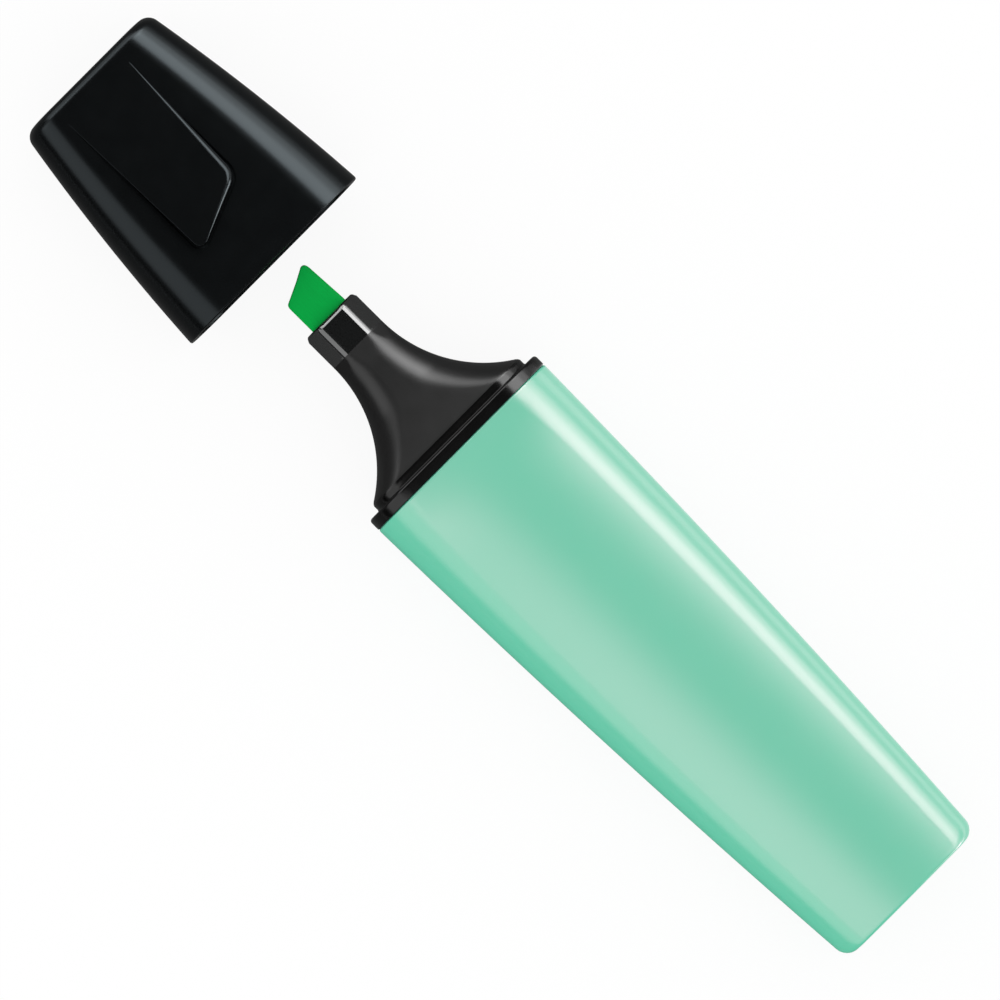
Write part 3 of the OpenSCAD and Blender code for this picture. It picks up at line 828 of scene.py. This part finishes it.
def moulded_plastic(name, base, roughness, spread, grain, cloud, **sockets):
    """Injection-moulded plastic: even colour with faint flow clouds, handled spots and a fine grain."""
    material, tree, shader = new_material(name, **sockets)
    streaked(tree, shader, base, FLOW_LENGTH, FLOW_WIDTH, 1 - cloud, 1 + cloud)
    spot = add_node(tree, "ShaderNodeTexCoord").outputs["Object"]
    # Handled plastic is a little smoother and duller in spots
    spots = add_node(tree, "ShaderNodeTexNoise", sockets={"Vector": spot, "Scale": 1 / SPOT_SIZE})
    sheen = add_node(
        tree, "ShaderNodeMapRange",
        sockets={"Value": spots.outputs["Fac"], "To Min": roughness - spread, "To Max": roughness + spread},
    )
    tree.links.new(sheen.outputs["Result"], shader.inputs["Roughness"])
    rough = add_node(
        tree, "ShaderNodeTexNoise", sockets={"Vector": spot, "Scale": 1 / GRAIN_SIZE, "Detail": 3.0}
    )
    bump = add_node(
        tree, "ShaderNodeBump", sockets={"Strength": 1.0, "Distance": grain, "Height": rough.outputs["Fac"]}
    )
    tree.links.new(bump.outputs["Normal"], shader.inputs["Normal"])
    return material


def mint_polypropylene(finishes):
    """Satin moulded polypropylene with pastel pigment: soft broad highlights, slightly milky edges."""
    return moulded_plastic(
        "satin_mint_polypropylene", finishes.mint,
        roughness=0.29, spread=0.012, grain=0.0006 * MM, cloud=0.015,
        ior=1.74, specular_ior_level=1.0, specular_tint=finishes.mint_gloss,
        subsurface_weight=0.15, subsurface_radius=(1.0, 1.0, 1.0), subsurface_scale=1.2 * MM,
    )


def nose_polypropylene(finishes):
    """Black polypropylene from an eroded mould: satin, with broad grey bands along the rounded edges."""
    return moulded_plastic(
        "eroded_black_polypropylene", finishes.nose_black,
        roughness=0.36, spread=0.03, grain=0.001 * MM, cloud=0.05,
        ior=1.5, specular_ior_level=0.55,
    )


def flange_polypropylene(finishes):
    """Black polypropylene from a smooth mould: dark flat faces, clear bands on the rounded edges."""
    return moulded_plastic(
        "smooth_black_polypropylene", finishes.nose_black,
        roughness=0.2, spread=0.02, grain=0.0004 * MM, cloud=0.05,
        ior=1.5, specular_ior_level=0.43,
    )


def holder_polypropylene(finishes):
    """Black polypropylene from a polished mould: crisp light streaks along the nib holder's edges, on a
    black painted lighter as sheen.
    """
    return moulded_plastic(
        "polished_black_polypropylene", finishes.holder_black_painted_lighter,
        roughness=0.1, spread=0.01, grain=0.0002 * MM, cloud=0.03,
        ior=1.68, specular_ior_level=1.0,
    )


def cap_polypropylene(finishes):
    """Black semi-gloss polypropylene: deep black faces with clear soft bands on the rounded edges."""
    return moulded_plastic(
        "semi_gloss_black_polypropylene", finishes.cap_black,
        roughness=0.25, spread=0.02, grain=0.0003 * MM, cloud=0.05,
        ior=1.5, specular_ior_level=0.33, specular_tint=finishes.cap_gloss,
    )


def natural_polyethylene(finishes):
    """Unpigmented moulded polyethylene: milky and waxy, so light bleeds through its thin wall."""
    return moulded_plastic(
        "natural_moulded_polyethylene", finishes.natural,
        roughness=0.45, spread=0.05, grain=0.0008 * MM, cloud=0.02, ior=1.51,
        subsurface_weight=0.4, subsurface_radius=(1.0, 0.9, 0.8), subsurface_scale=1.5 * MM,
    )


def inked_felt(finishes):
    """Bonded polyester fibre soaked with ink: matt and deep green, with fine streaks along the fibres."""
    material, tree, shader = new_material(
        "ink_soaked_polyester_felt", roughness=0.8, ior=1.45, specular_ior_level=0.05
    )
    # The fibres are about 0.02 mm thick and would not show, so they are drawn as bundles
    fibres = streaked(tree, shader, finishes.ink, 2 * MM, 0.14 * MM, darker=0.9, lighter=1.1, detail=3.0)
    bump = add_node(
        tree, "ShaderNodeBump", sockets={"Strength": 0.6, "Distance": 0.02 * MM, "Height": fibres}
    )
    tree.links.new(bump.outputs["Normal"], shader.inputs["Normal"])
    return material


def fibre_core(finishes):
    """Bundled polyester fibre soaked with ink: long loose streaks along the core."""
    material, tree, shader = new_material("bundled_polyester_fibre", roughness=0.85, sheen_weight=0.3)
    strands = streaked(tree, shader, finishes.core, 9 * MM, 0.3 * MM, darker=0.75, lighter=1.2, detail=4.0)
    bump = add_node(
        tree, "ShaderNodeBump", sockets={"Strength": 0.8, "Distance": 0.05 * MM, "Height": strands}
    )
    tree.links.new(bump.outputs["Normal"], shader.inputs["Normal"])
    return material


def wrapped_film(finishes):
    """Thin drawn polypropylene film: clear and glossy, with fine draw lines along it."""
    material, tree, shader = new_material("drawn_polypropylene_film", ior=1.49, transmission_weight=0.85)
    lines = streaked(tree, shader, finishes.film, 20 * MM, 0.5 * MM, darker=0.95, lighter=1.0)
    gloss = add_node(tree, "ShaderNodeMapRange", sockets={"Value": lines, "To Min": 0.08, "To Max": 0.2})
    tree.links.new(gloss.outputs["Result"], shader.inputs["Roughness"])
    return material


class HIGHLIGHTER_OT_barrel(Operator):
    """Model the wedge-shaped barrel as a closed shell"""

    bl_idname = "highlighter.barrel"
    bl_label = "Barrel"

    def execute(self, context):
        settings = context.scene.highlighter
        piece = loft("barrel_shell", barrel_rings(settings.shell))
        place(piece, "pen", "barrel", "barrel_plastic", mint_polypropylene(settings.finishes))
        return {"FINISHED"}


class HIGHLIGHTER_OT_nose(Operator):
    """Model the flared nose with its spigot, flange, nib holder and nib channel"""

    bl_idname = "highlighter.nose"
    bl_label = "Nose"

    def execute(self, context):
        settings = context.scene.highlighter
        shell = settings.shell
        nose = settings.nose
        rings = spigot_rings(shell, nose) + nose_skin(shell, nose) + nose_inside(shell, nose, settings.nib)
        piece = loft("nose_moulding", rings, looped=True)
        place(
            piece, "pen", "nose", "nose_plastic",
            flange_polypropylene(settings.finishes),
            nose_polypropylene(settings.finishes),
            holder_polypropylene(settings.finishes),
        )
        # The three finishes follow each other along the nose: flange and foot, flare, holder
        foot_x = nose_x(nose, nose.foot_length)
        holder_x = foot_x + nose.flare_length
        for face in piece.data.polygons:
            face.material_index = (face.center.x > foot_x) + (face.center.x > holder_x)
        return {"FINISHED"}


class HIGHLIGHTER_OT_nib(Operator):
    """Model the felt nib with its slanted chisel cut"""

    bl_idname = "highlighter.nib"
    bl_label = "Nib"

    def execute(self, context):
        settings = context.scene.highlighter
        piece = loft("nib_felt", nib_rings(settings.nib))
        place(piece, "pen", "nib", "nib_fibre", inked_felt(settings.finishes))
        return {"FINISHED"}


class HIGHLIGHTER_OT_reservoir(Operator):
    """Finish the fibre core and its film, whose solids stay as they are"""

    bl_idname = "highlighter.reservoir"
    bl_label = "Reservoir"

    def execute(self, context):
        finishes = context.scene.highlighter.finishes
        made = {"ink_reservoir": fibre_core(finishes), "reservoir_film": wrapped_film(finishes)}
        for node, material in made.items():
            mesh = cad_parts[node].data
            mesh.materials.clear()
            mesh.materials.append(material)
        return {"FINISHED"}


class HIGHLIGHTER_OT_cap(Operator):
    """Model the cap's shell and the clip in its pocket"""

    bl_idname = "highlighter.cap"
    bl_label = "Cap and clip"

    def execute(self, context):
        settings = context.scene.highlighter
        shell = settings.shell
        clip = settings.clip
        plastic = cap_polypropylene(settings.finishes)
        body = loft("cap_shell", cap_rings(shell))
        cut(body, loft("clip_pocket", pocket_rings(shell, clip)))
        place(body, "cap", "cap", "cap_plastic", plastic)
        tongue = loft("cap_clip", clip_rings(shell, clip))
        place(tongue, "cap", "cap", "cap_plastic", plastic)
        return {"FINISHED"}


class HIGHLIGHTER_OT_inner_cap(Operator):
    """Model the sealing cup inside the cap"""

    bl_idname = "highlighter.inner_cap"
    bl_label = "Inner cap"

    def execute(self, context):
        settings = context.scene.highlighter
        piece = loft("sealing_cup", cup_rings(settings.shell))
        place(piece, "cap", "inner_cap", "seal_plastic", natural_polyethylene(settings.finishes))
        return {"FINISHED"}


def paper_material(finishes):
    """Matt white paper: plain white to the eye and in reflections, but it takes the pen's soft shadow."""
    material = bpy.data.materials.new("matt_white_paper")
    tree = bare_tree(material)
    path = add_node(tree, "ShaderNodeLightPath").outputs
    paper = add_node(tree, "ShaderNodeBsdfDiffuse", sockets={"Color": finishes.floor})
    glow = add_node(tree, "ShaderNodeEmission", sockets={"Color": finishes.floor, "Strength": 1.0})
    mirrored = add_node(
        tree, "ShaderNodeMath", {"operation": "MAXIMUM"},
        {0: path["Is Glossy Ray"], 1: path["Is Transmission Ray"]},
    )
    seen = add_node(
        tree, "ShaderNodeMath", {"operation": "MAXIMUM"},
        {0: path["Is Camera Ray"], 1: mirrored.outputs["Value"]},
    )
    share = add_node(
        tree, "ShaderNodeMath", {"operation": "MULTIPLY"}, {0: seen.outputs["Value"], 1: PAPER_GLOW}
    )
    mixed = add_node(
        tree, "ShaderNodeMixShader",
        sockets={0: share.outputs["Value"], 1: paper.outputs["BSDF"], 2: glow.outputs["Emission"]},
    )
    add_node(tree, "ShaderNodeOutputMaterial", sockets={"Surface": mixed.outputs["Shader"]})
    return material


def card_material(name, tone, glow=0.0):
    """Matt card, even in tone, which the lower edges of the plastic mirror in place of the white floor; a
    glow makes it shine by its own emission.
    """
    return new_material(
        name, base_color=tone, roughness=0.9, specular_ior_level=0.0,
        emission_color=tone, emission_strength=glow,
    )[0]


def sheet(name, low, high, z, material):
    """Flat sheet of the stage, lying at the height z between two corners."""
    mesh = bpy.data.meshes.new(name)
    corners = [(low[0], low[1], z), (high[0], low[1], z), (high[0], high[1], z), (low[0], high[1], z)]
    mesh.from_pydata(corners, [], [(0, 1, 2, 3)])
    mesh.materials.append(material)
    made = bpy.data.objects.new(name, mesh)
    bpy.context.scene.collection.objects.link(made)
    return made


def lay_cards(stage, finishes):
    """Lay grey cards round the black plastic and on the barrel's left, and a glowing one on its right.

    As in a studio, reflections show them, and neither the camera nor the floor does.
    """
    seam_x = BARREL_HIGH.x
    round_cap = card_material("matt_cap_card", finishes.cap_card)
    left = card_material("matt_left_card", finishes.left_card)
    right = card_material("matt_right_card", finishes.right_card, stage.card_glow)
    for card in (
        sheet("card_round_cap", (seam_x, -CARD_REACH), (CARD_REACH, CARD_REACH), CARD_HEIGHT, round_cap),
        sheet("card_left", (-CARD_REACH, 0), (seam_x, CARD_REACH), CARD_HEIGHT, left),
        sheet("card_right", (-CARD_REACH, -CARD_REACH), (seam_x, -CARD_GAP), CARD_HEIGHT, right),
    ):
        card.visible_camera = False
        card.visible_diffuse = False
        card.visible_shadow = False


def fill_room(scene, stage, finishes):
    """Light the room evenly from all round, at a level at which colours render as they are written."""
    world = bpy.data.worlds.new("studio")
    scene.world = world
    tree = bare_tree(world)
    path = add_node(tree, "ShaderNodeLightPath")
    level = add_node(
        tree, "ShaderNodeMapRange",
        sockets={"Value": path.outputs["Is Camera Ray"], "To Min": stage.room, "To Max": 1.0},
    )
    room = add_node(
        tree, "ShaderNodeBackground",
        sockets={"Color": finishes.floor, "Strength": level.outputs["Result"]},
    )
    add_node(tree, "ShaderNodeOutputWorld", sockets={"Surface": room.outputs["Background"]})
    # The ceiling stays dark in reflections, as the black faces show
    world.cycles_visibility.glossy = False


def softbox(scene, name, brightness, bearing, lean, across, along, ahead):
    """Panel that shows in the gloss alone, since the room lights the colours; brightness 1 is white."""
    turn = math.radians(bearing)
    tilt = math.radians(lean)
    direction = Vector((
        math.sin(tilt) * math.cos(turn), math.sin(tilt) * math.sin(turn), math.cos(tilt)
    ))
    data = bpy.data.lights.new(name, "AREA")
    data.shape = "RECTANGLE"
    data.size = along
    data.size_y = across
    data.energy = brightness * math.pi * along * across
    lamp = bpy.data.objects.new(name, data)
    lamp.location = Vector((ahead, 0, AXIS_Z)) + direction * LAMP_DISTANCE
    lamp.rotation_euler = (-direction).to_track_quat("-Z", "Y").to_euler()
    lamp.visible_diffuse = False
    scene.collection.objects.link(lamp)


def set_camera(scene, stage):
    """Look straight down on the pen through a long lens, turned as in the photo."""
    data = bpy.data.cameras.new("camera")
    data.lens = stage.lens
    distance = stage.frame_width * stage.lens / data.sensor_width
    data.clip_start = distance / CLEAR_RANGE
    data.clip_end = distance * CLEAR_RANGE
    camera = bpy.data.objects.new("camera", data)
    camera.location = (stage.centre_x, stage.centre_y, AXIS_Z + distance)
    camera.rotation_euler = (0, 0, stage.roll)
    scene.collection.objects.link(camera)
    scene.camera = camera
    scene.view_settings.view_transform = "Standard"


class HIGHLIGHTER_OT_stage(Operator):
    """Set up the floor, the cards, the room, the softboxes and the camera"""

    bl_idname = "highlighter.stage"
    bl_label = "Stage"

    def execute(self, context):
        scene = context.scene
        stage = scene.highlighter.stage
        finishes = scene.highlighter.finishes
        sheet("floor", (-FLOOR_REACH, -FLOOR_REACH), (FLOOR_REACH, FLOOR_REACH), 0, paper_material(finishes))
        lay_cards(stage, finishes)
        fill_room(scene, stage, finishes)
        for name, setting in SOFTBOXES.items():
            softbox(scene, name, getattr(stage, name), *setting)
        set_camera(scene, stage)
        return {"FINISHED"}


class HIGHLIGHTER_PT_pieces(Panel):
    """Lists the pieces of the highlighter"""

    bl_idname = "HIGHLIGHTER_PT_pieces"
    bl_label = "Flat Highlighter"
    bl_space_type = "VIEW_3D"
    bl_region_type = "UI"
    bl_category = "Highlighter"

    def draw(self, context):
        for operator in OPERATORS:
            self.layout.operator(operator.bl_idname)


OPERATORS = (
    HIGHLIGHTER_OT_barrel,
    HIGHLIGHTER_OT_nose,
    HIGHLIGHTER_OT_nib,
    HIGHLIGHTER_OT_reservoir,
    HIGHLIGHTER_OT_cap,
    HIGHLIGHTER_OT_inner_cap,
    HIGHLIGHTER_OT_stage,
)
GROUPS = (ShellSizes, NoseSizes, NibSizes, ClipSizes, Finishes, StageSettings, HighlighterSettings)
CLASSES = GROUPS + OPERATORS + (HIGHLIGHTER_PT_pieces,)


def register():
    """Register the classes and keep the settings on the scene."""
    for made in CLASSES:
        bpy.utils.register_class(made)
    bpy.types.Scene.highlighter = PointerProperty(type=HighlighterSettings)


def unregister():
    """Take the settings and the classes away again."""
    del bpy.types.Scene.highlighter
    for made in reversed(CLASSES):
        bpy.utils.unregister_class(made)


def main():
    """Make every piece and the stage."""
    register()
    bpy.ops.highlighter.barrel()
    bpy.ops.highlighter.nose()
    bpy.ops.highlighter.nib()
    bpy.ops.highlighter.reservoir()
    bpy.ops.highlighter.cap()
    bpy.ops.highlighter.inner_cap()
    bpy.ops.highlighter.stage()


if __name__ == "__main__":
    main()
